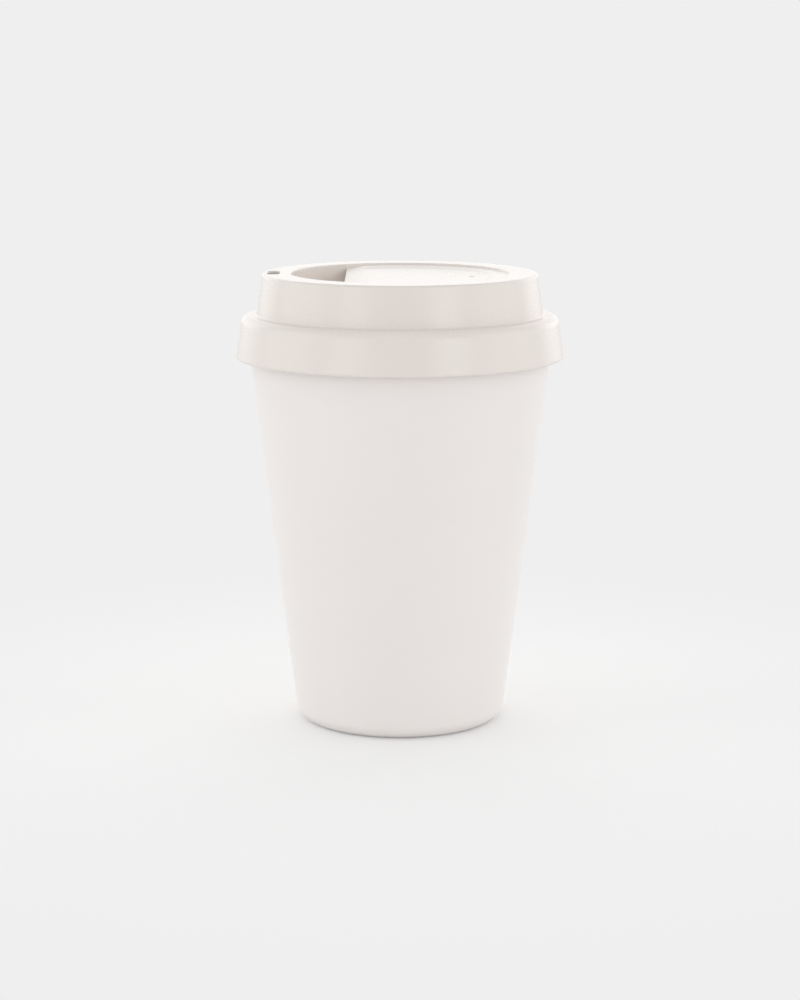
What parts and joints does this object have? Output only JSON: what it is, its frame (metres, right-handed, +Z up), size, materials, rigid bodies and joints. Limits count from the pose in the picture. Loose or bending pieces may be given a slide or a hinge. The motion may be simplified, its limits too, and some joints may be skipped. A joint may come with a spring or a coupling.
{
  "type": "travel mug",
  "caption": "Tapered moulded travel mug with a push-on sip lid: raised drum, snap skirt, lip pocket and sip slot.",
  "frame": {"origin": "middle of the foot, on the surface the cup stands on", "axes": "+Z up along the cup's axis; -X from the axis to the sip slot and the lip pocket"},
  "size_m": [0.0918, 0.0918, 0.127],
  "materials": {
    "cup_plastic": "satin injection-moulded polypropylene, warm white",
    "lid_plastic": "satin injection-moulded polypropylene, warm white, a little greyer than the cup"
  },
  "bodies": {
    "cup": {"cup": "cup_plastic"},
    "lid": {"lid": "lid_plastic"}
  },
  "joints": [
    {"name": "lid_lift", "type": "slide", "parent": "cup", "child": "lid", "axis": [0, 0, 1], "range_m": [0, 0.03]}
  ]
}
